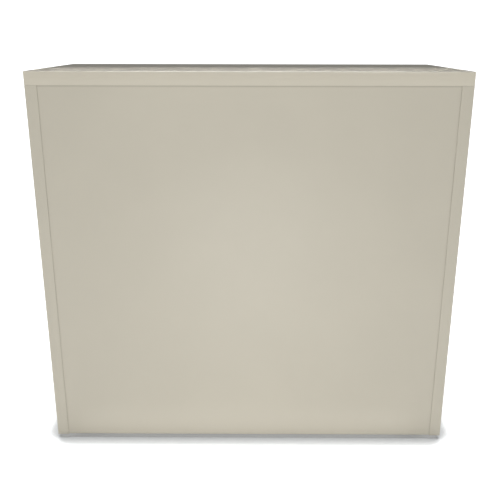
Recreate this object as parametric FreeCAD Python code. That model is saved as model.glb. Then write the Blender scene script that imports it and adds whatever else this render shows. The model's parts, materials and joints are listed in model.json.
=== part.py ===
"""A three-drawer steel lateral filing cabinet, as separate pieces: a folded sheet case on four levelling
glides, three hanging-file drawers on ball-bearing slides, a cam lock with its bar, and an interlock bar.

Everything is built with y = 0 at the case's front plane and y growing towards the back, in millimetres,
with the floor at z = 0. The last step moves it so that the origin is under the middle of the bounding box.
"""
import FreeCAD, Part
import math
import os

from FreeCAD import Vector

# Overall size
WIDTH = 1067.0
DEPTH = 457.0
HEIGHT = 994.0
PULL_REACH = 26.0  # how far a drawer pull stands out of the front plane

# Sheet thicknesses and bend radii
CASE_SHEET = 1.2
DRAWER_SHEET = 1.0
POST_SHEET = 1.5
RAIL_SHEET = 2.0
CASE_BEND = 1.8  # inside radius of the case's bends
FINE_BEND = 0.8  # inside radius of the other bends
CONTACT_GAP = 0.1  # between sheets that lie inside each other

# Case
GLIDE_GAP = 12.0  # from the floor to the case's lower edge
COVER_HEIGHT = 33.0  # the top cover's band on all four sides
SEAM = 0.4  # between the top cover and the side panels
FRONT_RETURN = 22.0  # the side panels' return beside the drawer fronts
FRONT_LIP = 20.0  # how far that return is folded back into the case
FRAME_FRONT = FRONT_LIP + 2  # front face of the posts, cross rails and base pan
REAR_FLANGE = 30.0  # the side panels' flange over the back panel
KICK_SETBACK = 12.4
BASE_TOP = 44.0  # underside of the base pan
POST_FLANGE = 20.0
CROSS_RAIL_HALF = 7.0
CROSS_RAIL_DEPTH = 18.0
BUMPER_SIZE = (18.0, 3.4, 1.6)  # width, height and thickness
BUMPER_X = 440.0
CROWN_RADIUS = 150.0  # the gentle outward curve of the cover's rear band
CROWN_START = 8.0  # where that curve starts above the band's lower edge
COVER_EDGE = CASE_BEND + CASE_SHEET  # outside radius of the cover's edges

# Drawers
DRAWERS = ("lower", "middle", "upper")
FRONT_GAP = 3.0
FRONT_HEIGHT = 301.0
FRONT_WIDTH = 1017.0
FRONT_THICK = 20.0
FRONT_EDGE = 1.5  # radius of the front's outer edges
FIRST_FRONT = HEIGHT - COVER_HEIGHT - 3 * (FRONT_HEIGHT + FRONT_GAP)
BODY_HALF = 497.0  # outer face of a drawer side
BODY_BACK = 420.0
BODY_FLOOR = 14.0  # height of the drawer body above its front's lower edge
BODY_TOP = 214.0
HEM_WIDTH = 6.0  # rolled top edge of the drawer body
HEM_DROP = 8.0
SIDE_FLANGE = 14.0
LINER_FLANGE = 14.0
TRAVEL = 385.0

# Slides, measured inwards from the post's face
POST_FACE = 513.0
SLIDE_START = 26.0
SLIDE_LENGTH = 420.0
SLIDE_HEIGHT = 120.0  # slide centre line above the front's lower edge
SLIDE_WEBS = {"case": (0.75, 10.0), "middle": (3.75, 12.0), "drawer": (15.25, 6.5)}  # web and lip ends
CAGE_WEBS = {"outer": (2.25, 9.6), "inner": (5.4, 12.6)}
CAGE_SHEET = 0.6
CAGE_LENGTH = 190.0
CAGE_START = {  # an outer cage rolls out by a quarter of the travel, an inner one by three quarters
    "outer": SLIDE_START + TRAVEL / 4 + 18,
    "inner": SLIDE_START + SLIDE_LENGTH - TRAVEL / 4 - CAGE_LENGTH - 32,
}
BALL_RADIUS = 1.7
BALLS_PER_ROW = 5
LIPS = {"case": 26.25, "middle": 20.75, "drawer": 15.25}  # half height between lip centre lines
CAGE_LIPS = {"outer": 23.5, "inner": 18.0}

# Rivets and screws
RIVET_RADIUS = 2.05
RIVET_HOLE = 2.1
RIVET_HEAD = 3.6
RIVET_TAIL = 3.2
WEIGHT_SCREW = 3.2
WEIGHT_SCREWS = [(x, y) for x in (-380, 0, 380) for y in (352, 410)]
WEIGHT_SIZE = (860.0, 102.0, 20.0)
WEIGHT_FRONT = 330.0

# Lock and bars
LOCK_X = 486.0
LOCK_Z = HEIGHT - COVER_HEIGHT / 2
LOCK_BODY = 9.5
LOCK_FLANGE = 12.0
LOCK_LENGTH = 24.0
CORE_RADIUS = 6.5
CORE_CLEARANCE = 0.05
KEY_HALF_THICK = 0.9
KEY_HALF_WIDTH = 3.4
KEY_DEPTH = 14.0
KEY_BOW = 9.5
KEY_CUTS = (0.9, 1.6, 0.6, 1.3, 1.0)  # depths of the cuts in the blade
KEY_CUT_PITCH = 2.3
BAR_LIFT = 10.0
CAM_RADIUS = BAR_LIFT / math.sqrt(2)  # a quarter turn, from 45 degrees below to 45 above, lifts BAR_LIFT
CAM_THICK = 2.0
PIN_RADIUS = 2.0
PIN_LENGTH = 6.0
PIN_X = LOCK_X - BAR_LIFT / 2
PIN_Z = LOCK_Z - BAR_LIFT / 2
ARM_FRONT = LOCK_LENGTH + CAM_THICK + 2
ARM_SHEET = 2.0
ARM_HALF = 7.0
BAR_X = 515.0
BAR_THICK = 3.0
BAR_FRONT = 48.0
BAR_WIDTH = 14.0
TAB_Z = 165.0  # lower edge of a drawer's latch tab above its front's lower edge
TAB_HEIGHT = 14.0
TAB_FRONT = 62.5
TAB_REACH = 11.0
FINGER_DROP = 2.0  # a finger's clearance under its tab while unlocked
FINGER_LENGTH = 10.0
FINGER_FLANGE = 11.5
GUIDE_Z = 225.0  # a bar guide's lower edge above a drawer front's lower edge
GUIDE_HEIGHT = 16.0
GUIDE_CLEARANCE = 0.3

# Glides
STEM_RADIUS = 5.0
STEM_CLEARANCE = 0.05
FOOT_RADIUS = 16.0
NUT_FLATS = 17.0
NUT_HEIGHT = 8.0
GLIDE_X = 508.0
GLIDE_INSET = 36.0  # from the base rails' ends
RAIL_FRONT = 38.0
RAIL_BACK = 433.0
RAIL_WIDTH = 44.0

# Hang rails and pull
HANG_RAIL_FRONT = 62.0
HANG_RAIL_SPACING = 330.0  # letter-size hanging folders, side to side
HANG_RAIL_THICK = 2.0
HANG_RAIL_RISE = 9.0
HANG_RAIL_DROP = 6.0
PULL_HALF = 78.0
PULL_HEIGHT = 16.0
PULL_THICK = 6.0
PULL_FOOT = 22.0
PULL_SCREW = 2.0
PULL_Z = 196.0
PULL_SCREW_X = 64.0
LABEL_Z = 248.0
LABEL_SIZE = (92.0, 36.0, 2.4)
CARD_SIZE = (85.0, 29.0, 1.3)
WINDOW_SIZE = (78.0, 23.0)

FRONT_Y = -(DEPTH + PULL_REACH) / 2 + PULL_REACH
X_AXIS, Y_AXIS, Z_AXIS = Vector(1, 0, 0), Vector(0, 1, 0), Vector(0, 0, 1)


# ---------------------------------------------------------------- shape helpers
def box(x0, x1, y0, y1, z0, z1):
    return Part.makeBox(x1 - x0, y1 - y0, z1 - z0, Vector(x0, y0, z0))


def rod(radius, start, end):
    """A cylinder from one point to another."""
    axis = Vector(*end) - Vector(*start)
    return Part.makeCylinder(radius, axis.Length, Vector(*start), axis)


def cone(radius_start, radius_end, start, end):
    axis = Vector(*end) - Vector(*start)
    return Part.makeCone(radius_start, radius_end, axis.Length, Vector(*start), axis)


def mirrored(shape):
    """The same piece on the left side."""
    return shape.mirror(Vector(0, 0, 0), X_AXIS)


def both_sides(shape):
    return [shape, mirrored(shape)]


def in_plane(plane, u, v):
    """A point of a profile drawn in the xy, yz or xz plane."""
    return {"xy": Vector(u, v, 0), "yz": Vector(0, u, v), "xz": Vector(u, 0, v)}[plane]


def wire_of(stretches, plane):
    """A closed wire: a stretch of two points is straight, and one of three is an arc."""
    edges = []
    for stretch in stretches:
        points = [in_plane(plane, *point) for point in stretch]
        curve = Part.Arc(*points) if len(points) == 3 else Part.LineSegment(*points)
        edges.append(curve.toShape())
    return Part.Wire(edges)


def extruded(stretches, plane, low, high):
    """An outline drawn in a plane, made solid from low to high along the third axis."""
    axis = {"xy": Z_AXIS, "yz": X_AXIS, "xz": Y_AXIS}[plane]
    solid = Part.Face(wire_of(stretches, plane)).extrude(axis * (high - low))
    solid.translate(axis * low)
    return solid


def sheet_face(corners, thickness, bend, side):
    """One face of a folded sheet, as straight and arc stretches. side is 1 to the left, -1 to the right."""
    points = [Vector(u, v, 0) for u, v in corners]
    runs = [(b - a).normalize() for a, b in zip(points, points[1:])]
    normals = [Vector(-run.y, run.x, 0) for run in runs]
    radius = bend + thickness / 2
    stretches = []
    here = points[0] + normals[0] * (side * thickness / 2)
    for i in range(1, len(runs)):
        turn = 1 if runs[i - 1].cross(runs[i]).z > 0 else -1
        setback = radius * math.tan(runs[i - 1].getAngle(runs[i]) / 2)
        centre = points[i] - runs[i - 1] * setback + normals[i - 1] * (turn * radius)
        reach = radius - side * turn * thickness / 2
        arc_start = centre - normals[i - 1] * (turn * reach)
        arc_middle = centre + (points[i] - centre).normalize() * reach
        arc_end = centre - normals[i] * (turn * reach)
        stretches += [(here, arc_start), (arc_start, arc_middle, arc_end)]
        here = arc_end
    stretches.append((here, points[-1] + normals[-1] * (side * thickness / 2)))
    return [[(point.x, point.y) for point in stretch] for stretch in stretches]


def folded(corners, thickness, plane, low, high, bend=FINE_BEND):
    """A folded sheet: its centre line goes through the corners, each bent to the inside radius."""
    left = sheet_face(corners, thickness, bend, 1)
    right = [stretch[::-1] for stretch in sheet_face(corners, thickness, bend, -1)[::-1]]
    end_cap = [left[-1][-1], right[0][0]]
    start_cap = [right[-1][-1], left[0][0]]
    return extruded(left + [end_cap] + right + [start_cap], plane, low, high)


def split_outline(corners, flat, setback):
    """Cuts an outline into several: each run numbered in flat is one alone, without the bends at its ends."""
    outlines, current = [], [corners[0]]
    for i, (start, end) in enumerate(zip(corners, corners[1:])):
        if i in flat:
            run = Vector(end[0] - start[0], end[1] - start[1], 0).normalize() * setback
            near = (start[0] + run.x, start[1] + run.y) if i > 0 else start
            far = (end[0] - run.x, end[1] - run.y) if i < len(corners) - 2 else end
            outlines += [current + [near], [near, far]]
            current = [far]
        current.append(end)
    outlines.append(current)
    return [outline for outline in outlines if outline[0] != outline[-1]]


def welded(corners, flat, thickness, plane, low, high, bend=FINE_BEND):
    """A section like a folded sheet's, butt-welded from flat strips and the bent strips between them."""
    outlines = split_outline(corners, flat, bend + thickness)
    return [folded(outline, thickness, plane, low, high, bend) for outline in outlines]


def rounded_rectangle(u0, u1, v0, v1, radius):
    """The outline of a rectangle with four round corners."""
    k = radius * (1 - math.sqrt(0.5))
    return [
        ((u0 + radius, v0), (u1 - radius, v0)),
        ((u1 - radius, v0), (u1 - k, v0 + k), (u1, v0 + radius)),
        ((u1, v0 + radius), (u1, v1 - radius)),
        ((u1, v1 - radius), (u1 - k, v1 - k), (u1 - radius, v1)),
        ((u1 - radius, v1), (u0 + radius, v1)),
        ((u0 + radius, v1), (u0 + k, v1 - k), (u0, v1 - radius)),
        ((u0, v1 - radius), (u0, v0 + radius)),
        ((u0, v0 + radius), (u0 + k, v0 + k), (u0 + radius, v0)),
    ]


def hexagon(across_flats, centre, z0, z1):
    """A hexagonal block."""
    corners = []
    for i in range(7):
        angle = math.radians(60 * i + 30)
        reach = across_flats / math.sqrt(3)
        corners.append(Vector(centre[0] + reach * math.cos(angle), centre[1] + reach * math.sin(angle), z0))
    return Part.Face(Part.makePolygon(corners)).extrude(Z_AXIS * (z1 - z0))


# ---------------------------------------------------------------- case
def around(centre, radius, angle):
    return centre[0] + radius * math.cos(angle), centre[1] + radius * math.sin(angle)


def cover_block(inset):
    """The top cover's outside, or its inside when inset by the sheet thickness."""
    low, high, back = HEIGHT - COVER_HEIGHT, HEIGHT - inset, DEPTH - inset
    edge = COVER_EDGE - inset
    lean = math.asin((COVER_HEIGHT - COVER_EDGE - CROWN_START) / (CROWN_RADIUS - COVER_EDGE))
    crown_centre = (DEPTH - CROWN_RADIUS, low + CROWN_START)
    edge_centre = around(crown_centre, CROWN_RADIUS - COVER_EDGE, lean)
    upright = math.pi / 2
    edge_top = around(edge_centre, edge, upright)
    edge_middle = around(edge_centre, edge, (lean + upright) / 2)
    crown_top = around(crown_centre, CROWN_RADIUS - inset, lean)
    crown_middle = around(crown_centre, CROWN_RADIUS - inset, lean / 2)
    profile = [
        ((inset, low), (inset, high)),
        ((inset, high), edge_top),
        (edge_top, edge_middle, crown_top),
        (crown_top, crown_middle, (back, crown_centre[1])),
        ((back, crown_centre[1]), (back, low)),
        ((back, low), (inset, low)),
    ]
    half = WIDTH / 2 - inset
    from_behind = rounded_rectangle(-half, half, low - 2 * COVER_EDGE, high, edge)
    from_above = rounded_rectangle(-half, half, inset, back, edge)
    from_side = rounded_rectangle(inset, back + COVER_EDGE, low - 2 * COVER_EDGE, high, edge)
    block = extruded(profile, "yz", -half, half)
    block = block.common(extruded(from_behind, "xz", 0, DEPTH))
    block = block.common(extruded(from_above, "xy", low, high))
    return block.common(extruded(from_side, "yz", -half, half))


def lock_hole():
    return rod(LOCK_BODY + CONTACT_GAP, (LOCK_X, -1, LOCK_Z), (LOCK_X, CASE_SHEET + POST_SHEET + 1, LOCK_Z))


def top_cover():
    return cover_block(0).cut(cover_block(CASE_SHEET)).cut(lock_hole())


def side_panel():
    """The right side: front lip, front return, side, rear flange, folded from one sheet."""
    half = CASE_SHEET / 2
    outline = [
        (WIDTH / 2 - FRONT_RETURN, FRONT_LIP),
        (WIDTH / 2 - FRONT_RETURN, half),
        (WIDTH / 2 - half, half),
        (WIDTH / 2 - half, DEPTH - half),
        (WIDTH / 2 - REAR_FLANGE, DEPTH - half),
    ]
    top = HEIGHT - COVER_HEIGHT - SEAM
    return folded(outline, CASE_SHEET, "xy", GLIDE_GAP, top, CASE_BEND)


def back_panel():
    """Lies against the inside of the rear flanges and of the cover's rear band."""
    y = DEPTH - CASE_SHEET - DRAWER_SHEET / 2
    outline = [
        (y - 16, GLIDE_GAP + DRAWER_SHEET / 2),
        (y, GLIDE_GAP + DRAWER_SHEET / 2),
        (y, HEIGHT - COVER_HEIGHT + CROWN_START - 1),
    ]
    return folded(outline, DRAWER_SHEET, "yz", -WIDTH / 2 + 4, WIDTH / 2 - 4, CASE_BEND)


def base_pan():
    back = DEPTH - CASE_SHEET - DRAWER_SHEET - CASE_SHEET / 2
    z = BASE_TOP + CASE_SHEET / 2
    x = WIDTH / 2 - CASE_SHEET - 0.3
    outline = [(FRAME_FRONT, z), (back, z), (back, z + 14)]
    return weight_drilled(folded(outline, CASE_SHEET, "yz", -x, x, CASE_BEND))


def toe_kick():
    y, half = KICK_SETBACK + CASE_SHEET / 2, CASE_SHEET / 2
    outline = [
        (y + 20, BASE_TOP - half),
        (y, BASE_TOP - half),
        (y, GLIDE_GAP + half),
        (y + 15, GLIDE_GAP + half),
    ]
    x = WIDTH / 2 - FRONT_RETURN - CASE_SHEET / 2 - 0.3
    return folded(outline, CASE_SHEET, "yz", -x, x, CASE_BEND)


def glide_places():
    return [(x, y) for x in (-GLIDE_X, GLIDE_X) for y in (RAIL_FRONT + GLIDE_INSET, RAIL_BACK - GLIDE_INSET)]


def glide_hole(x, y):
    return rod(STEM_RADIUS + STEM_CLEARANCE, (x, y, 0), (x, y, GLIDE_GAP + RAIL_SHEET + NUT_HEIGHT))


def base_rails():
    half = RAIL_SHEET / 2
    x_out, x_in = WIDTH / 2 - CASE_SHEET - half, WIDTH / 2 - CASE_SHEET - RAIL_WIDTH
    z0, z1 = GLIDE_GAP + half, BASE_TOP - half
    outline = [(x_in, z0), (x_out, z0), (x_out, z1), (x_in, z1)]
    rails = both_sides(folded(outline, RAIL_SHEET, "xz", RAIL_FRONT, RAIL_BACK))
    holes = [glide_hole(x, y) for x, y in glide_places()]
    return [rail.cut(holes) for rail in rails]


def drilled(piece, x, places):
    """Rivet holes through the sheets next to x, at each (y, z)."""
    for y, z in places:
        piece = piece.cut(rod(RIVET_HOLE, (x - 3, y, z), (x + 3, y, z)))
    return piece


def rivet(inner, outer, y, z):
    """A rivet through the sheets between two distances from the middle, on the right side."""
    shank = rod(RIVET_RADIUS, (inner, y, z), (outer, y, z))
    head = cone(RIVET_HEAD, RIVET_TAIL, (inner, y, z), (inner - 1, y, z))
    tail = rod(RIVET_TAIL, (outer, y, z), (outer + 0.9, y, z))
    return shank.fuse([head, tail])


def case_rivet_places(index):
    """(y, z) of the rivets through the posts into one slide's case member."""
    z = slide_z(index)
    ends = (SLIDE_START + 10, SLIDE_START + SLIDE_LENGTH - 11)
    return [(y, z + dz) for y in ends for dz in (-10, 10)]


def posts():
    """Four channels inside the corners, each with a bent web and two flat flanges. The inner one is drilled."""
    half = POST_SHEET / 2
    x_out, x_in = WIDTH / 2 - CASE_SHEET - half, POST_FACE + half
    z0, z1 = BASE_TOP + CASE_SHEET, HEIGHT - COVER_HEIGHT - 1
    front = FRAME_FRONT + half
    back = DEPTH - CASE_SHEET - DRAWER_SHEET - CASE_SHEET - CASE_BEND - half
    made = []
    for web, end in ((front, front + POST_FLANGE), (back, back - POST_FLANGE)):
        corners = [(x_out, end), (x_out, web), (x_in, web), (x_in, end)]
        outer, middle, inner = welded(corners, (0, 2), POST_SHEET, "xy", z0, z1)
        for index in range(len(DRAWERS)):
            inner = drilled(inner, POST_FACE, case_rivet_places(index))
        for strip in (outer, middle, inner):
            made += both_sides(strip)
    return made


def gap_centres():
    """Heights of the two gaps between drawer fronts."""
    return [front_z(index) - FRONT_GAP / 2 for index in (1, 2)]


def cross_rails():
    front = FRAME_FRONT + CASE_SHEET / 2
    back = front + CROSS_RAIL_DEPTH
    rails = []
    for z in gap_centres():
        low, high = z - CROSS_RAIL_HALF, z + CROSS_RAIL_HALF
        outline = [(back, high), (front, high), (front, low), (back, low)]
        rails.append(folded(outline, CASE_SHEET, "yz", -POST_FACE, POST_FACE))
    return rails


def drawer_bumpers():
    """Rubber pads on the cross rails, where the drawer fronts come to rest."""
    width, height, thick = BUMPER_SIZE
    pads = []
    for z in gap_centres():
        for x in (-BUMPER_X, BUMPER_X):
            for low in (z - CROSS_RAIL_HALF + 1.4, z + CROSS_RAIL_HALF - 1.4 - height):
                outline = rounded_rectangle(x - width / 2, x + width / 2, low, low + height, 0.47 * height)
                pads.append(extruded(outline, "xz", FRAME_FRONT - thick, FRAME_FRONT))
    return pads


def lock_rail():
    """Channel inside the cover's front band, with the lock's hole through its web."""
    half = POST_SHEET / 2
    y, z0, z1 = CASE_SHEET + half, HEIGHT - COVER_HEIGHT + 2, HEIGHT - CASE_SHEET - half
    x = WIDTH / 2 - CASE_SHEET - 2
    outline = [(FRONT_LIP, z0), (y, z0), (y, z1), (FRONT_LIP, z1)]
    bottom, web, top = welded(outline, (0, 2), POST_SHEET, "yz", -x, x, CASE_BEND)
    return [bottom, web.cut(lock_hole()), top]


def weight_drilled(piece):
    """Holes for the counterweight's screws."""
    holes = [rod(WEIGHT_SCREW + CONTACT_GAP, (x, y, 0), (x, y, 2 * BASE_TOP)) for x, y in WEIGHT_SCREWS]
    return piece.cut(holes)


def counterweight():
    """Solid steel bar under the base pan, at the back, so that an open drawer doesn't tip the case."""
    length, width, thick = WEIGHT_SIZE
    bar = box(-length / 2, length / 2, WEIGHT_FRONT, WEIGHT_FRONT + width, BASE_TOP - thick, BASE_TOP)
    lower_edges = [edge for edge in bar.Edges if edge.BoundBox.ZMax < BASE_TOP - thick + 1]
    return weight_drilled(bar.makeChamfer(2, lower_edges))


def weight_screw(x, y):
    z = BASE_TOP + CASE_SHEET
    shank = rod(WEIGHT_SCREW, (x, y, z - 18), (x, y, z))
    head = cone(6.2, 4.4, (x, y, z), (x, y, z + 3))
    socket = hexagon(4, (x, y), z + 1, z + 4)
    return shank.fuse(head).cut(socket)


def case_fasteners():
    """Counterweight screws, slide rivets and the glides' weld nuts."""
    made = [weight_screw(x, y) for x, y in WEIGHT_SCREWS]
    for index in range(len(DRAWERS)):
        for y, z in case_rivet_places(index):
            made += both_sides(rivet(POST_FACE - POST_SHEET, POST_FACE + POST_SHEET, y, z))
    for x, y in glide_places():
        nut = hexagon(NUT_FLATS, (x, y), GLIDE_GAP + RAIL_SHEET, GLIDE_GAP + RAIL_SHEET + NUT_HEIGHT)
        made.append(nut.cut(glide_hole(x, y)))
    return made


def glide(x, y):
    """A round foot on a threaded stem, screwed fully in."""
    levels = [(0, FOOT_RADIUS - 1), (1.5, FOOT_RADIUS), (5, FOOT_RADIUS), (8, 9)]
    pieces_of_foot = []
    for (z0, r0), (z1, r1) in zip(levels, levels[1:]):
        if r0 == r1:
            pieces_of_foot.append(rod(r0, (x, y, z0), (x, y, z1)))
        else:
            pieces_of_foot.append(cone(r0, r1, (x, y, z0), (x, y, z1)))
    collar = hexagon(13, (x, y), levels[-1][0], GLIDE_GAP)
    stem = rod(STEM_RADIUS, (x, y, GLIDE_GAP), (x, y, BASE_TOP - 4))
    return stem.fuse(pieces_of_foot + [collar]).removeSplitter()


# ---------------------------------------------------------------- slides
def front_z(index):
    """Height of a drawer front's lower edge."""
    return FIRST_FRONT + index * (FRONT_HEIGHT + FRONT_GAP)


def slide_z(index):
    return front_z(index) + SLIDE_HEIGHT


def channel(web_and_mouth, lip, z, thickness, start, length):
    """A slide's channel on the right side. Its web and its lips' ends are measured inwards from the post."""
    web, mouth = web_and_mouth
    u0, u1 = POST_FACE - mouth, POST_FACE - web
    corners = [(u0, z + lip), (u1, z + lip), (u1, z - lip), (u0, z - lip)]
    return folded(corners, thickness, "xz", start, start + length)


def slide_member(kind, index, length=SLIDE_LENGTH):
    return channel(SLIDE_WEBS[kind], LIPS[kind], slide_z(index), POST_SHEET, SLIDE_START, length)


def case_members(index):
    return both_sides(drilled(slide_member("case", index), POST_FACE, case_rivet_places(index)))


def middle_members(index):
    member = slide_member("middle", index)
    z = slide_z(index)
    for y, _ in drawer_rivet_places(index):
        slot = rounded_rectangle(y - 14, y + 14, z - 5, z + 5, 4.9)
        member = member.cut(extruded(slot, "yz", POST_FACE - 6, POST_FACE - 2))
    return both_sides(member)


def drawer_rivet_places(index):
    """(y, z) of the rivets through a drawer side into its slide."""
    along = (40, SLIDE_LENGTH / 2, SLIDE_LENGTH - 60)
    return [(SLIDE_START + distance, slide_z(index)) for distance in along]


def drawer_members(index):
    member = slide_member("drawer", index, SLIDE_LENGTH - 30)
    return both_sides(drilled(member, BODY_HALF, drawer_rivet_places(index)))


def ball_cages(index, kind):
    """Two folded strips, each holding a row of balls above and below."""
    lip, z, start = CAGE_LIPS[kind], slide_z(index), CAGE_START[kind]
    cage = channel(CAGE_WEBS[kind], lip, z, CAGE_SHEET, start, CAGE_LENGTH)
    ball_x = POST_FACE - sum(CAGE_WEBS[kind]) / 2 - CAGE_SHEET
    balls = []
    for i in range(BALLS_PER_ROW):
        y = start + CAGE_LENGTH * (i + 0.5) / BALLS_PER_ROW
        for ball_z in (z - lip, z + lip):
            cage = cage.cut(rod(BALL_RADIUS + CONTACT_GAP, (ball_x, y, ball_z - 1), (ball_x, y, ball_z + 1)))
            ball = Part.makeSphere(BALL_RADIUS)
            ball.translate(Vector(ball_x, y, ball_z))
            balls.append(ball)
    made = []
    for piece in [cage] + balls:
        made += both_sides(piece)
    return made


# ---------------------------------------------------------------- drawers
def pull_screw_places(index):
    return [(x, front_z(index) + PULL_Z) for x in (-PULL_SCREW_X, PULL_SCREW_X)]


def drawer_front(index):
    """The outside pan of a drawer front, open towards the back."""
    z0, z1, x = front_z(index), front_z(index) + FRONT_HEIGHT, FRONT_WIDTH / 2
    sheet = DRAWER_SHEET
    pan = extruded(rounded_rectangle(-x, x, z0, z1, FRONT_EDGE + CONTACT_GAP), "xz", 0, FRONT_THICK)
    pan = pan.makeFillet(FRONT_EDGE, [edge for edge in pan.Edges if edge.BoundBox.YMax < CONTACT_GAP])
    pan = pan.cut(box(-x + sheet, x - sheet, sheet, FRONT_THICK + 1, z0 + sheet, z1 - sheet))
    return pan.cut([rod(PULL_SCREW + 0.3, (sx, -1, z), (sx, 3, z)) for sx, z in pull_screw_places(index)])


def front_liner(index):
    """The flat inner panel that closes a drawer front, and the stiffening flange along its top and bottom."""
    half = DRAWER_SHEET / 2
    inset = DRAWER_SHEET + CONTACT_GAP
    z0, z1 = front_z(index) + inset + half, front_z(index) + FRONT_HEIGHT - inset - half
    y, x = FRONT_THICK - half, FRONT_WIDTH / 2 - inset
    outline = [(y - LINER_FLANGE, z0), (y, z0), (y, z1), (y - LINER_FLANGE, z1)]
    bottom, panel, top = welded(outline, (1,), DRAWER_SHEET, "yz", -x, x)
    driver_holes = [rod(6, (sx, y - 4, z), (sx, y + 2, z)) for sx, z in pull_screw_places(index)]
    return [bottom, panel.cut(driver_holes), top]


def hemmed(back, top):
    """The last points of an outline that ends in a hem rolled inwards."""
    return [(back, top), (back - HEM_WIDTH, top), (back - HEM_WIDTH, top - HEM_DROP)]


def latch_tab(z):
    """A bent tab welded to the outside of the right drawer side, which a bar's finger can stop."""
    face, half = BODY_HALF + POST_SHEET / 2, POST_SHEET / 2
    outline = [(BODY_HALF + TAB_REACH, TAB_FRONT + half), (face, TAB_FRONT + half), (face, TAB_FRONT + 24)]
    return folded(outline, POST_SHEET, "xy", z, z + TAB_HEIGHT)


def drawer_sides(index):
    """Sides with a bottom flange, a hemmed top, a flange against the front and a latch tab."""
    z0, half = front_z(index), DRAWER_SHEET / 2
    low, x = z0 + BODY_FLOOR + half, BODY_HALF - half
    outline = [(x - SIDE_FLANGE, low), (x, low)] + hemmed(x, z0 + BODY_TOP - half)
    bottom, side, hem = welded(outline, (1,), DRAWER_SHEET, "xz", FRONT_THICK, BODY_BACK)
    side = drilled(side, BODY_HALF - 2, drawer_rivet_places(index))
    flange_low, flange_high = z0 + BODY_FLOOR + 26, z0 + BODY_TOP - 12
    inner, front = BODY_HALF - DRAWER_SHEET, FRONT_THICK + DRAWER_SHEET
    flange = box(inner - 15, inner, FRONT_THICK, front, flange_low, flange_high)
    made = []
    for piece in (bottom, side, hem, flange, latch_tab(z0 + TAB_Z)):
        made += both_sides(piece)
    return made


def drawer_tray(index):
    """The drawer's bottom and back in one folded sheet."""
    z0, half = front_z(index), DRAWER_SHEET / 2
    floor = z0 + BODY_FLOOR + DRAWER_SHEET + half
    front, back = FRONT_THICK + half, BODY_BACK - half
    outline = [(front, floor + 16), (front, floor), (back, floor)] + hemmed(back, z0 + BODY_TOP - half)
    x = BODY_HALF - DRAWER_SHEET - FINE_BEND - CONTACT_GAP
    tray = folded(outline, DRAWER_SHEET, "yz", -x, x)
    notch_low, notch_high = z0 + BODY_TOP - HEM_DROP - 1, z0 + BODY_TOP + 1
    notch = box(x - HEM_WIDTH - 2, x + 1, back - HEM_WIDTH - 2, back + 2, notch_low, notch_high)
    return tray.cut([notch, mirrored(notch)])


def hang_rails(index):
    """Two bars across the drawer for hanging folders, resting on the drawer sides' hems."""
    z = front_z(index) + BODY_TOP
    wide = BODY_HALF - 0.5
    narrow = wide - HEM_WIDTH - 2.5
    rails = []
    for y in (HANG_RAIL_FRONT, HANG_RAIL_FRONT + HANG_RAIL_SPACING):
        front, back = y - HANG_RAIL_THICK / 2, y + HANG_RAIL_THICK / 2
        bar = box(-narrow, narrow, front, back, z - HANG_RAIL_DROP, z + HANG_RAIL_RISE)
        ends = box(-wide, wide, front, back, z + CONTACT_GAP, z + HANG_RAIL_RISE)
        rails.append(bar.fuse(ends).removeSplitter())
    return rails


def drawer_pull(index):
    """A bow with flat feet, fastened from behind with two screws."""
    z = front_z(index) + PULL_Z
    inner_half, inner_reach = PULL_HALF - PULL_FOOT, PULL_REACH - PULL_THICK
    outline = [
        ((-PULL_HALF, 0), (0, -PULL_REACH), (PULL_HALF, 0)),
        ((PULL_HALF, 0), (inner_half, 0)),
        ((inner_half, 0), (0, -inner_reach), (-inner_half, 0)),
        ((-inner_half, 0), (-PULL_HALF, 0)),
    ]
    pull = extruded(outline, "xy", z - PULL_HEIGHT / 2, z + PULL_HEIGHT / 2)
    outer_edges = [edge for edge in pull.Edges if edge.Length > 2 * PULL_HALF]
    pull = pull.makeFillet(2.2, outer_edges)
    holes = [rod(PULL_SCREW + 0.05, (x, -5, z), (x, 1, z)) for x, z in pull_screw_places(index)]
    return pull.cut(holes)


def centred(size, z, radius):
    """The outline of a rounded rectangle in the middle of a drawer front."""
    return rounded_rectangle(-size[0] / 2, size[0] / 2, z - size[1] / 2, z + size[1] / 2, radius)


def label_holder(index):
    """A card frame, open on its right for the card."""
    z = front_z(index) + LABEL_Z
    thick = LABEL_SIZE[2]
    frame = extruded(centred(LABEL_SIZE, z, 3), "xz", -thick, 0)
    frame = frame.makeFillet(0.8, [edge for edge in frame.Edges if edge.BoundBox.YMax < -thick + 0.1])
    window = extruded(centred(WINDOW_SIZE, z, 1.5), "xz", -thick - 1, 1)
    length, height, deep = CARD_SIZE
    pocket = box(-length / 2, LABEL_SIZE[0] / 2 + 1, -deep, 1, z - height / 2, z + height / 2)
    return frame.cut([window, pocket])


def pull_screw(x, z):
    start = DRAWER_SHEET
    shank = rod(PULL_SCREW, (x, -4.5, z), (x, start, z))
    head = cone(4.2, 3.0, (x, start, z), (x, start + 2.4, z))
    slot = box(x - 5, x + 5, start + 1.6, start + 3, z - 0.5, z + 0.5)
    return shank.fuse(head).cut(slot)


def drawer_fasteners(index):
    """Pull screws, and the rivets between the drawer sides and the slides."""
    made = [pull_screw(x, z) for x, z in pull_screw_places(index)]
    for y, z in drawer_rivet_places(index):
        made += both_sides(rivet(BODY_HALF - DRAWER_SHEET, BODY_HALF + POST_SHEET, y, z))
    return made


# ---------------------------------------------------------------- lock and interlock
def along_lock(start, end, x=LOCK_X, z=LOCK_Z):
    """Two points on a line parallel to the lock's axis."""
    return (x, start, z), (x, end, z)


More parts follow.
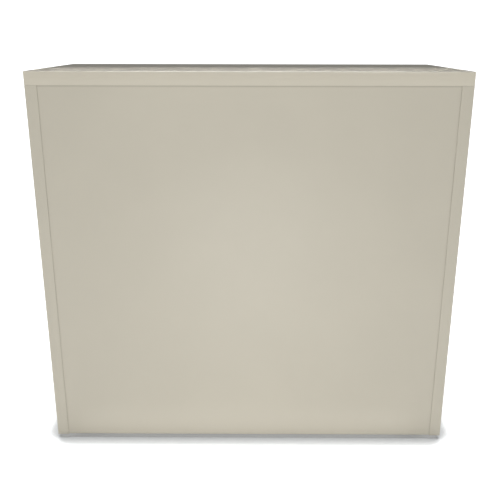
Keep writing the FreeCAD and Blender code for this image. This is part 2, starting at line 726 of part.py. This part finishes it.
def lock_housing():
    """The cylinder's body, with its flange outside the cover and its nut inside."""
    body = rod(LOCK_BODY, *along_lock(0, LOCK_LENGTH - 0.5))
    rim = rod(LOCK_FLANGE, *along_lock(-1.6, 0))
    bevel = cone(LOCK_FLANGE, LOCK_FLANGE - 1.6, *along_lock(-1.6, -3))
    nut_start = CASE_SHEET + POST_SHEET
    nut = rod(LOCK_FLANGE - 0.3, *along_lock(nut_start, nut_start + 3.5))
    bore = rod(CORE_RADIUS + CORE_CLEARANCE, *along_lock(-5, LOCK_LENGTH + 5))
    return body.fuse([rim, bevel, nut]).removeSplitter().cut(bore)


def key_blade(gap, front):
    """The key's blade from front inwards, or its keyway when it has a gap around it."""
    half_x, half_z = KEY_HALF_THICK + gap, KEY_HALF_WIDTH + gap
    return box(LOCK_X - half_x, LOCK_X + half_x, front, KEY_DEPTH + gap, LOCK_Z - half_z, LOCK_Z + half_z)


def lock_core():
    """The turning plug, with its cam and the pin that lifts the lock bar."""
    plug = rod(CORE_RADIUS, *along_lock(-3.2, LOCK_LENGTH)).cut(key_blade(CONTACT_GAP, -4))
    cam_end = LOCK_LENGTH + CAM_THICK
    hub = rod(CORE_RADIUS, *along_lock(LOCK_LENGTH, cam_end))
    lobe = rod(2 * PIN_RADIUS, *along_lock(LOCK_LENGTH, cam_end, PIN_X, PIN_Z))
    pin = rod(PIN_RADIUS, *along_lock(cam_end, cam_end + PIN_LENGTH, PIN_X, PIN_Z))
    return plug.fuse([hub, lobe, pin]).removeSplitter()


def key_cut(number, depth):
    """A V-shaped cut in the lower edge of the key's blade."""
    y, edge = KEY_DEPTH - KEY_CUT_PITCH * (number + 0.8), LOCK_Z - KEY_HALF_WIDTH
    corners = [(y - depth, edge), (y, edge + depth), (y + depth, edge)]
    outline = list(zip(corners, corners[1:] + corners[:1]))
    return extruded(outline, "yz", LOCK_X - KEY_HALF_THICK, LOCK_X + KEY_HALF_THICK)


def lock_key():
    half, bow_y = KEY_HALF_THICK, -PULL_REACH + KEY_BOW + 1.5
    bow = rod(KEY_BOW, (LOCK_X - half, bow_y, LOCK_Z), (LOCK_X + half, bow_y, LOCK_Z))
    ring_hole = rod(3, (LOCK_X - 2, bow_y - 3, LOCK_Z), (LOCK_X + 2, bow_y - 3, LOCK_Z))
    cuts = [key_cut(number, depth) for number, depth in enumerate(KEY_CUTS)]
    return key_blade(0, -8).fuse(bow).removeSplitter().cut([ring_hole] + cuts)


def bar_finger(index):
    """A bracket welded to a bar's strip, with its top just under a drawer's latch tab."""
    top, half = front_z(index) + TAB_Z - FINGER_DROP, ARM_SHEET / 2
    tip, face = BODY_HALF + 5, BAR_X - half
    outline = [(tip, top - half), (face, top - half), (face, top - FINGER_FLANGE)]
    return folded(outline, ARM_SHEET, "xz", BAR_FRONT, BAR_FRONT + FINGER_LENGTH)


def finger_bar():
    """The vertical strip, with a finger for each drawer, on the right side."""
    z0, z1 = front_z(0) + 90, HEIGHT - 14
    strip = box(BAR_X, BAR_X + BAR_THICK, BAR_FRONT, BAR_FRONT + BAR_WIDTH, z0, z1)
    return [strip] + [bar_finger(index) for index in range(len(DRAWERS))]


def lock_bar():
    """The strip and its fingers, with an arm at its top that the lock's pin lifts through a slot."""
    y, face = ARM_FRONT + ARM_SHEET / 2, BAR_X - ARM_SHEET / 2
    outline = [(LOCK_X - 14, y), (face, y), (face, BAR_FRONT + BAR_WIDTH)]
    arm = folded(outline, ARM_SHEET, "xy", PIN_Z - ARM_HALF, PIN_Z + ARM_HALF)
    half = PIN_RADIUS + 0.45
    left, right = LOCK_X - CAM_RADIUS - half - 0.2, PIN_X + half + 0.2
    slot = rounded_rectangle(left, right, PIN_Z - half, PIN_Z + half, half - 0.05)
    arm = arm.cut(extruded(slot, "xz", ARM_FRONT - 1, ARM_FRONT + ARM_SHEET + 1))
    return finger_bar() + [arm]


def interlock_bar():
    return [mirrored(piece) for piece in finger_bar()]


def bar_guides():
    """Nylon blocks on the side panels that keep the two bars upright."""
    gap, x1, bar_back = GUIDE_CLEARANCE, BAR_X + BAR_THICK, BAR_FRONT + BAR_WIDTH
    guides = []
    for index in range(len(DRAWERS)):
        z0 = front_z(index) + GUIDE_Z
        z1 = z0 + GUIDE_HEIGHT
        block = box(BAR_X - 1.4, WIDTH / 2 - CASE_SHEET, BAR_FRONT - 3.5, bar_back + 5, z0, z1)
        slot = box(BAR_X - gap, x1 + gap, BAR_FRONT - gap, bar_back + gap, z0 - 1, z1 + 1)
        mouth = box(BAR_X - 2, BAR_X, BAR_FRONT + 2, bar_back - 2, z0 - 1, z1 + 1)
        guides += both_sides(block.cut([slot, mouth]))
    return guides


# ---------------------------------------------------------------- assembly
def pieces():
    """Every node, as a name and a list of solids."""
    made = {
        "top_cover": [top_cover()],
        "right_side_panel": [side_panel()],
        "left_side_panel": [mirrored(side_panel())],
        "back_panel": [back_panel()],
        "base_pan": [base_pan()],
        "toe_kick": [toe_kick()],
        "base_rails": base_rails(),
        "slide_posts": posts(),
        "cross_rails": cross_rails(),
        "drawer_bumpers": drawer_bumpers(),
        "lock_rail": lock_rail(),
        "counterweight": [counterweight()],
        "case_fasteners": case_fasteners(),
        "lock_housing": [lock_housing()],
        "lock_core": [lock_core()],
        "lock_key": [lock_key()],
        "lock_bar": lock_bar(),
        "interlock_bar": interlock_bar(),
        "bar_guides": bar_guides(),
    }
    members = []
    for index, name in enumerate(DRAWERS):
        members += case_members(index)
        made[f"{name}_drawer_front"] = [drawer_front(index)]
        made[f"{name}_drawer_liner"] = front_liner(index)
        made[f"{name}_drawer_sides"] = drawer_sides(index)
        made[f"{name}_drawer_tray"] = [drawer_tray(index)]
        made[f"{name}_hang_rails"] = hang_rails(index)
        made[f"{name}_pull"] = [drawer_pull(index)]
        made[f"{name}_label_holder"] = [label_holder(index)]
        made[f"{name}_drawer_fasteners"] = drawer_fasteners(index)
        made[f"{name}_slide_drawer_members"] = drawer_members(index)
        made[f"{name}_slide_middle_members"] = middle_members(index)
        made[f"{name}_slide_outer_cages"] = ball_cages(index, "outer")
        made[f"{name}_slide_inner_cages"] = ball_cages(index, "inner")
    made["slide_case_members"] = members
    corners = ("left_front", "left_rear", "right_front", "right_rear")
    for corner, (x, y) in zip(corners, glide_places()):
        made[f"{corner}_glide"] = [glide(x, y)]
    return made


def export(made):
    os.makedirs("parts", exist_ok=True)
    for name, solids in made.items():
        group = []
        for solid in solids:
            parts = solid.Solids
            if len(parts) != 1 or not parts[0].isValid():
                raise ValueError(f"{name}: a piece has {len(parts)} solids or isn't valid")
            group.append(parts[0])
        shape = group[0] if len(group) == 1 else Part.makeCompound(group)
        shape = shape.copy()
        shape.translate(Vector(0, FRONT_Y, 0))
        shape.exportStep(f"parts/{name}.step")


MADE = pieces()
export(MADE)
print(len(MADE), "nodes,", sum(len(s) for s in MADE.values()), "solids")
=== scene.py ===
import json
import math

import bmesh
import bpy
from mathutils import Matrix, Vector


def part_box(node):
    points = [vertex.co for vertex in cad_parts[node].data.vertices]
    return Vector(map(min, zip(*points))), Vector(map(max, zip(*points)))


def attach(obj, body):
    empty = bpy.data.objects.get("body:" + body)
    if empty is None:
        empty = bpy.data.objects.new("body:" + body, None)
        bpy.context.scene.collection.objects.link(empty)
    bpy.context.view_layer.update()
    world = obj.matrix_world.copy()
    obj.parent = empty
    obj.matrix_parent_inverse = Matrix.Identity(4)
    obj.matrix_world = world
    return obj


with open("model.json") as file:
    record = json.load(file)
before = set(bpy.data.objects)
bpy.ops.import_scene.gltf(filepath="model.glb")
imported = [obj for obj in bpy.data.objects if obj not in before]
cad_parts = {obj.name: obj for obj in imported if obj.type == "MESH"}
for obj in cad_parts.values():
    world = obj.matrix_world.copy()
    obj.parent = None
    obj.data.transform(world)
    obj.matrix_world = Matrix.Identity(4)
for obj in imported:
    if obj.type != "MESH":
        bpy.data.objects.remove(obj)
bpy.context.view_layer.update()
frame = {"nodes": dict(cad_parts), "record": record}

NODES = frame["nodes"]
SLOT_OF = {part["node"]: part["material_slot"] for part in frame["record"]["subparts"]}
DRAWERS = ("lower", "middle", "upper")
MM = 0.001

# The case's planes and heights
CASE_LOW, CASE_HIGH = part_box("right_side_panel")
FRONT_Y, BACK_Y = CASE_LOW.y, CASE_HIGH.y
COVER_Z, TOP_Z = (corner.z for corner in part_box("top_cover"))

# The camera stands behind the cabinet, a little above its top
LENS_MM = 47.89
SENSOR_MM = 36.0
CAMERA_X = -0.0097
CAMERA_Y = BACK_Y + 1.6152
CAMERA_Z = CASE_LOW.z + 1.0561
PITCH, YAW, ROLL = 17.668, -0.253, 0.087  # degrees


# ---------------------------------------------------------------- node helpers
class Shader:
    """A material's node tree, with short calls for the nodes used here."""

    def __init__(self, name):
        self.material = bpy.data.materials.new(name)
        self.material.use_nodes = True
        self.tree = self.material.node_tree
        self.nodes = self.tree.nodes
        self.surface = self.nodes["Principled BSDF"]
        self.place = self.nodes.new("ShaderNodeTexCoord").outputs["Object"]

    def link(self, source, target):
        self.tree.links.new(source, target)

    def set(self, **values):
        """Constants on the shader's own sockets."""
        for name, value in values.items():
            self.surface.inputs[name.replace("_", " ")].default_value = value

    def drive(self, **sources):
        """Links from nodes to the shader's sockets."""
        for name, source in sources.items():
            self.link(source, self.surface.inputs[name.replace("_", " ")])

    def stretched(self, scale):
        """The object's own coordinates, scaled along each axis."""
        node = self.nodes.new("ShaderNodeMapping")
        node.inputs["Scale"].default_value = scale
        self.link(self.place, node.inputs["Vector"])
        return node.outputs["Vector"]

    def noise(self, scale, detail=2.0, roughness=0.5, vector=None):
        node = self.nodes.new("ShaderNodeTexNoise")
        node.inputs["Scale"].default_value = scale
        node.inputs["Detail"].default_value = detail
        node.inputs["Roughness"].default_value = roughness
        self.link(vector or self.place, node.inputs["Vector"])
        return node.outputs["Fac"]

    def crystals(self, scale):
        """Flat cells, each with one random colour."""
        node = self.nodes.new("ShaderNodeTexVoronoi")
        node.inputs["Scale"].default_value = scale
        self.link(self.place, node.inputs["Vector"])
        return node.outputs["Color"]

    def height(self):
        """The Z of the object's own coordinates."""
        node = self.nodes.new("ShaderNodeSeparateXYZ")
        self.link(self.place, node.inputs["Vector"])
        return node.outputs["Z"]

    def openness(self, reach):
        """How open the surface is within this reach: 1 in the open, less in a corner."""
        node = self.nodes.new("ShaderNodeAmbientOcclusion")
        node.samples = 8
        node.inputs["Distance"].default_value = reach
        return node.outputs["AO"]

    def ramp(self, factor, stops):
        """Colours along a factor, from a list of (position, colour)."""
        node = self.nodes.new("ShaderNodeValToRGB")
        elements = node.color_ramp.elements
        for element, (position, colour) in zip(elements, stops):
            element.position = position
            element.color = (*colour, 1)
        for position, colour in stops[2:]:
            elements.new(position).color = (*colour, 1)
        self.link(factor, node.inputs["Fac"])
        return node.outputs["Color"]

    def varied(self, factor, colour, spread, start=0.3, end=0.7):
        """The colour, from a little darker at the factor's start to a little lighter at its end."""
        return self.ramp(factor, [(start, shade(colour, 1 - spread)), (end, shade(colour, 1 + spread))])

    def ranged(self, factor, low, high, start=0.3, end=0.7):
        """A number from low, at the factor's start, to high, at its end."""
        node = self.nodes.new("ShaderNodeMapRange")
        node.inputs["From Min"].default_value = start
        node.inputs["From Max"].default_value = end
        node.inputs["To Min"].default_value = low
        node.inputs["To Max"].default_value = high
        self.link(factor, node.inputs["Value"])
        return node.outputs["Result"]

    def mixed(self, factor, source, colour):
        """A source's colour, with as much of another colour as the factor says."""
        node = self.nodes.new("ShaderNodeMix")
        node.data_type = "RGBA"
        self.link(source, node.inputs["A"])
        node.inputs["B"].default_value = (*colour, 1)
        self.link(factor, node.inputs["Factor"])
        return node.outputs["Result"]

    def bump(self, height, distance, strength, normal=None):
        node = self.nodes.new("ShaderNodeBump")
        node.inputs["Distance"].default_value = distance
        node.inputs["Strength"].default_value = strength
        self.link(height, node.inputs["Height"])
        if normal:
            self.link(normal, node.inputs["Normal"])
        return node.outputs["Normal"]


def shade(colour, factor):
    return tuple(c * factor for c in colour)


# ---------------------------------------------------------------- materials
DRIFT, GLOSS_PATCHES, WAVES, GRAIN, RIPPLES = 7.0, 24.0, 420.0, 900.0, 1400.0  # noise scales, per metre
DRIFT_SPREAD = 0.012
GLOSS_SPREAD = 0.012
GRAIN_SHADE, GRAIN_COVER = 0.9, 0.06
PEEL = 0.03 * MM  # depth of ordinary orange peel
FINE_PEEL = 0.006 * MM
# Painted shade in crevices: how far it reaches, its colour over the open paint's, and how much of it there
# is at most
CREVICE_REACH = 7.0 * MM
CREVICE_SHADE, CREVICE_COVER = 0.55, 0.45
# Painted shadow line under a lapped edge: how much of it there is at most
SHADOW_LINE_COVER = 0.34
SHADOW_LINE_TOP, SHADOW_LINE_BOTTOM = 1.5 * MM, 4.0 * MM  # below the edge that casts the painted shadow line


def powder_coat(name, colour, roughness=0.42, edge=None, peel=PEEL):
    """Baked paint: orange peel, faint pigment drift and slightly uneven gloss, with painted shade in
    crevices.
    An edge is the height of a lapped sheet's edge, which has a painted shadow line under it."""
    m = Shader(name)
    dark = shade(colour, CREVICE_SHADE)
    drifting = m.varied(m.noise(DRIFT, detail=3.0), colour, DRIFT_SPREAD)
    grain = m.ranged(m.noise(GRAIN), 0.0, GRAIN_COVER, start=0.35, end=0.75)
    # painted shade: darker where the surface is less open, as in seams and corners
    crevice = m.ranged(m.openness(CREVICE_REACH), CREVICE_COVER, 0.0, start=0.45, end=0.97)
    painted = m.mixed(crevice, m.mixed(grain, drifting, shade(colour, GRAIN_SHADE)), dark)
    # a painted shadow line just under the lapped edge
    if edge:
        shadow_line = m.ranged(m.height(), 0.0, SHADOW_LINE_COVER, edge - SHADOW_LINE_BOTTOM, edge - SHADOW_LINE_TOP)
        painted = m.mixed(shadow_line, painted, dark)
    waves = m.bump(m.noise(WAVES, detail=1.0), peel, strength=0.5)
    patches = m.noise(GLOSS_PATCHES, detail=4.0)
    m.drive(
        Base_Color=painted,
        Roughness=m.ranged(patches, roughness - GLOSS_SPREAD, roughness + GLOSS_SPREAD),
        Normal=m.bump(m.noise(RIPPLES, detail=1.0), peel / 3, strength=0.5, normal=waves),
    )
    m.set(Specular_IOR_Level=0.5)
    return m.material


def galvanised(name):
    """Zinc spangle: flat crystals of slightly different grey and gloss."""
    m = Shader(name)
    crystal = m.crystals(scale=130.0)
    m.drive(
        Base_Color=m.ramp(crystal, [(0.0, (0.31, 0.32, 0.33)), (1.0, (0.49, 0.50, 0.51))]),
        Roughness=m.ranged(crystal, low=0.32, high=0.52, start=0.0, end=1.0),
        Normal=m.bump(m.noise(260.0, detail=3.0), 0.02 * MM, strength=0.4),
    )
    m.set(Metallic=1.0)
    return m.material


def brushed(name, colour):
    """Metal with fine lines running along X."""
    m = Shader(name)
    lines = m.noise(1.0, vector=m.stretched((14.0, 1400.0, 1400.0)))
    m.drive(
        Base_Color=m.varied(lines, colour, spread=0.07),
        Roughness=m.ranged(lines, low=0.23, high=0.39),
        Normal=m.bump(lines, 0.006 * MM, strength=0.6),
    )
    m.set(Metallic=1.0)
    return m.material


def plated(name, colour, roughness):
    """Bright plating with faint handling marks."""
    m = Shader(name)
    marks = m.noise(90.0, detail=6.0, roughness=0.65)
    m.drive(
        Base_Color=m.varied(marks, colour, spread=0.05, start=0.35, end=0.65),
        Roughness=m.ranged(marks, roughness, roughness + 0.14, start=0.35, end=0.7),
        Normal=m.bump(m.noise(700.0), 0.004 * MM, strength=0.5),
    )
    m.set(Metallic=1.0)
    return m.material


def moulded(name, colour, roughness):
    """Rubber or nylon with a fine moulded grain."""
    m = Shader(name)
    grain = m.noise(1100.0, detail=3.0)
    m.drive(
        Base_Color=m.varied(grain, colour, spread=0.08, start=0.35, end=0.65),
        Roughness=m.ranged(m.noise(60.0), roughness - 0.05, roughness + 0.08),
        Normal=m.bump(grain, 0.02 * MM, strength=0.6),
    )
    return m.material


def card_stock(name):
    """Uncoated off-white card, with a little fibre."""
    m = Shader(name)
    fibre = m.noise(1.0, detail=4.0, roughness=0.6, vector=m.stretched((300.0, 900.0, 900.0)))
    m.drive(
        Base_Color=m.ramp(fibre, [(0.3, (0.70, 0.68, 0.62)), (0.7, (0.78, 0.77, 0.72))]),
        Roughness=m.ranged(fibre, low=0.75, high=0.9),
        Normal=m.bump(fibre, 0.02 * MM, strength=0.5),
    )
    return m.material


PUTTY = (0.495, 0.456, 0.371)
MATERIALS = {
    "case_paint": powder_coat("case_paint", PUTTY),
    "back_paint": powder_coat("back_paint", PUTTY, edge=COVER_Z),
    "cover_paint": powder_coat("cover_paint", PUTTY, peel=FINE_PEEL),
    "drawer_paint": powder_coat("drawer_paint", PUTTY, 0.40),
    "galvanised_steel": galvanised("galvanised_steel"),
    "raw_steel": powder_coat("raw_steel", (0.03, 0.03, 0.032), 0.6),
    "zinc_plate": plated("zinc_plate", (0.60, 0.61, 0.62), 0.26),
    "nickel_plate": plated("nickel_plate", (0.76, 0.74, 0.70), 0.14),
    "brushed_nickel": brushed("brushed_nickel", (0.40, 0.39, 0.37)),
    "rubber": moulded("rubber", (0.028, 0.028, 0.03), 0.7),
    "nylon": moulded("nylon", (0.72, 0.71, 0.66), 0.45),
    "card": card_stock("card"),
}
OWN_PAINT = {"back_panel": "back_paint", "top_cover": "cover_paint"}


def dress_frame():
    """Gives every CAD node the material of its slot, or its own kind of case paint."""
    for name, node in NODES.items():
        finish = OWN_PAINT.get(name, SLOT_OF[name])
        node.data.materials.clear()
        node.data.materials.append(MATERIALS[finish])


# ---------------------------------------------------------------- label cards
CARD_HALF_LENGTH = 41.5 * MM
CARD_HALF_HEIGHT = 14.0 * MM
CARD_CORNER = 3.0 * MM
CARD_THICK = 0.35 * MM
CARD_BOW = 0.4 * MM
CARD_COLUMNS = 24
CARD_INSET = 1.15 * MM  # in front of the holder's back face


def card_column(x):
    """The card's outline at x: its front edge points, then its back ones."""
    into_corner = max(0.0, abs(x) - CARD_HALF_LENGTH + CARD_CORNER)
    half = CARD_HALF_HEIGHT - CARD_CORNER + math.sqrt(max(0.0, CARD_CORNER**2 - into_corner**2))
    y = CARD_BOW * (1 - (x / CARD_HALF_LENGTH) ** 2)
    return [(x, y, half), (x, y, -half), (x, y + CARD_THICK, -half), (x, y + CARD_THICK, half)]


def card_mesh():
    """A thin card with round corners, bowed a little along its length. Its front faces -Y, from y = 0."""
    mesh = bmesh.new()
    angles = [math.pi * i / CARD_COLUMNS for i in range(CARD_COLUMNS + 1)]
    outlines = [card_column(-CARD_HALF_LENGTH * math.cos(angle)) for angle in angles]
    columns = [[mesh.verts.new(point) for point in outline] for outline in outlines]
    for a, b in zip(columns, columns[1:]):
        for j in range(4):
            k = (j + 1) % 4
            mesh.faces.new((a[j], a[k], b[k], b[j]))
    mesh.faces.new(columns[0][::-1])
    mesh.faces.new(columns[-1])
    bmesh.ops.recalc_face_normals(mesh, faces=mesh.faces)
    made = bpy.data.meshes.new("label_card")
    mesh.to_mesh(made)
    mesh.free()
    return made


def label_card(drawer):
    """The blank card in a drawer's label holder, just behind its frame."""
    low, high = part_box(f"{drawer}_label_holder")
    card = bpy.data.objects.new(f"{drawer}_label_card", card_mesh())
    card.location = ((low.x + high.x) / 2, high.y - CARD_INSET, (low.z + high.z) / 2)
    card.data.materials.append(MATERIALS["card"])
    bpy.context.scene.collection.objects.link(card)
    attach(card, f"{drawer}_drawer")
    return card


# ---------------------------------------------------------------- stage
FLOOR_HALF = 60.0
CONTACT_REACH = 0.06  # how far from a standing thing its contact shade starts
# Openness and the floor's grey there
FLOOR_SHADES = [(0.3, 0.74), (0.5, 0.42), (0.72, 0.46), (0.835, 0.80), (0.9, 0.95), (1.0, 0.95)]
FLOOR_TINT = (0.985, 1.0, 1.01)
FLOOR_GLOW = 0.33
SUN_ANGLE = 40.0  # degrees
ROOM_LIGHT = 0.255
BACKDROP_LIGHT = 1.2


def floor_material():
    """A pale floor that glows a little, with a painted contact shadow close to what stands on it."""
    m = Shader("floor")
    stops = [(open_part, shade(FLOOR_TINT, grey)) for open_part, grey in FLOOR_SHADES]
    # painted contact shadow: the floor's grey, and its glow, darken where it is less open
    shaded = m.ramp(m.openness(CONTACT_REACH), stops)
    m.drive(Base_Color=shaded, Emission_Color=shaded)
    m.set(Roughness=0.9, Specular_IOR_Level=0.1, Emission_Strength=FLOOR_GLOW)
    return m.material


def floor():
    mesh = bpy.data.meshes.new("floor")
    signs = [(-1, -1), (1, -1), (1, 1), (-1, 1)]
    mesh.from_pydata([(x * FLOOR_HALF, y * FLOOR_HALF, 0) for x, y in signs], [], [(0, 1, 2, 3)])
    mesh.materials.append(floor_material())
    made = bpy.data.objects.new("floor", mesh)
    bpy.context.scene.collection.objects.link(made)
    return made


def backdrop():
    """An even white room, which the camera sees brighter than it lights the cabinet."""
    made = bpy.data.worlds.new("studio")
    bpy.context.scene.world = made
    made.use_nodes = True
    nodes, links = made.node_tree.nodes, made.node_tree.links
    room, seen = nodes["Background"], nodes.new("ShaderNodeBackground")
    for background, strength in ((room, ROOM_LIGHT), (seen, BACKDROP_LIGHT)):
        background.inputs["Color"].default_value = (1, 1, 1, 1)
        background.inputs["Strength"].default_value = strength
    mix = nodes.new("ShaderNodeMixShader")
    links.new(nodes.new("ShaderNodeLightPath").outputs["Is Camera Ray"], mix.inputs["Fac"])
    links.new(room.outputs["Background"], mix.inputs[1])
    links.new(seen.outputs["Background"], mix.inputs[2])
    links.new(mix.outputs["Shader"], nodes["World Output"].inputs["Surface"])


def lamp(name, kind, power, receivers):
    """A lamp that the camera doesn't see. It lights its receivers alone, or everything if it has none."""
    made = bpy.data.objects.new(name, bpy.data.lights.new(name, kind))
    made.data.energy = power
    made.visible_camera = False
    bpy.context.scene.collection.objects.link(made)
    if receivers:
        made.light_linking.receiver_collection = bpy.data.collections.new(name + "_receivers")
    for receiver in receivers:
        made.light_linking.receiver_collection.objects.link(receiver)
    return made


def overhead(name, strength, receivers):
    """Soft light from straight above."""
    lamp(name, "SUN", strength, receivers).data.angle = math.radians(SUN_ANGLE)


def soft_box(name, place, target, size, watts, receivers=(), spread=180.0):
    """A rectangle of light that faces its target. The spread, in degrees, narrows its beam."""
    made = lamp(name, "AREA", watts, receivers)
    made.data.shape = "RECTANGLE"
    made.data.size, made.data.size_y = size
    made.data.spread = math.radians(spread)
    made.location = place
    made.rotation_euler = (Vector(target) - Vector(place)).to_track_quat("-Z", "Y").to_euler()
    return made


def lights(ground, cards):
    """The floor and the drawers have plain light from above. The cover, and the back panel and sides
    that make the shell, have lamps of their own, whose light falls off across them."""
    cover = [NODES["top_cover"]]
    shell = [NODES["back_panel"], NODES["left_side_panel"], NODES["right_side_panel"]]
    inner = [node for node in NODES.values() if node not in cover + shell] + cards
    backdrop()
    overhead("floor_light", 3.3, [ground])
    overhead("drawer_light", 1.6, inner)
    overhead("cover_light", 0.2, cover)
    soft_box("key", (0, BACK_Y + 0.7, 0.36), (0, BACK_Y, 0.36), (0.5, 0.5), 1.02)

    front = {
        "place": (0, FRONT_Y - 2.2, 0.85),
        "target": (0, FRONT_Y, 0.5),
        "size": (1.8, 0.8),
        "watts": 11.5,
    }
    soft_box("fill", receivers=inner + shell + [ground], **front)
    soft_box("cover_fill", receivers=cover, **front).visible_glossy = False

    rear_edge = Vector((0, BACK_Y, TOP_Z))
    above_cover = rear_edge - Vector((0, 0.11, 0))
    below_edge = rear_edge - Vector((0, 0, 0.1))
    soft_box("wash", rear_edge + Vector((0, 0.15, 0.42)), below_edge, (0.8, 0.03), 1.0, shell)
    soft_box("rim", rear_edge + Vector((0, 0.13, 0.17)), rear_edge, (1.6, 0.05), 0.79, cover)
    soft_box("strip", above_cover + Vector((0, 0, 0.4)), above_cover, (1.2, 0.05), 0.31, cover, spread=38.0)
    gleam = soft_box("gleam", rear_edge + Vector((0, 0, 0.8)), rear_edge, (1.4, 0.3), 39.0, cover)
    gleam.visible_diffuse = False
    soft_box("foot", (0, BACK_Y + 0.09, 0.013), (0, BACK_Y, 0.02), (0.95, 0.02), 0.112, shell)


def camera():
    lens = bpy.data.cameras.new("camera")
    lens.lens = LENS_MM
    lens.sensor_width = SENSOR_MM
    made = bpy.data.objects.new("camera", lens)
    bpy.context.scene.collection.objects.link(made)
    made.location = (CAMERA_X, CAMERA_Y, CAMERA_Z)
    pitch, yaw, roll = (math.radians(angle) for angle in (PITCH, YAW, ROLL))
    ahead = math.cos(pitch)
    forward = Vector((-math.sin(yaw) * ahead, -math.cos(yaw) * ahead, -math.sin(pitch)))
    made.rotation_euler = forward.to_track_quat("-Z", "Y").to_euler()
    made.rotation_euler.rotate_axis("Z", roll)
    bpy.context.scene.camera = made


dress_frame()
lights(floor(), [label_card(drawer) for drawer in DRAWERS])
camera()
bpy.context.scene.view_settings.view_transform = "Standard"
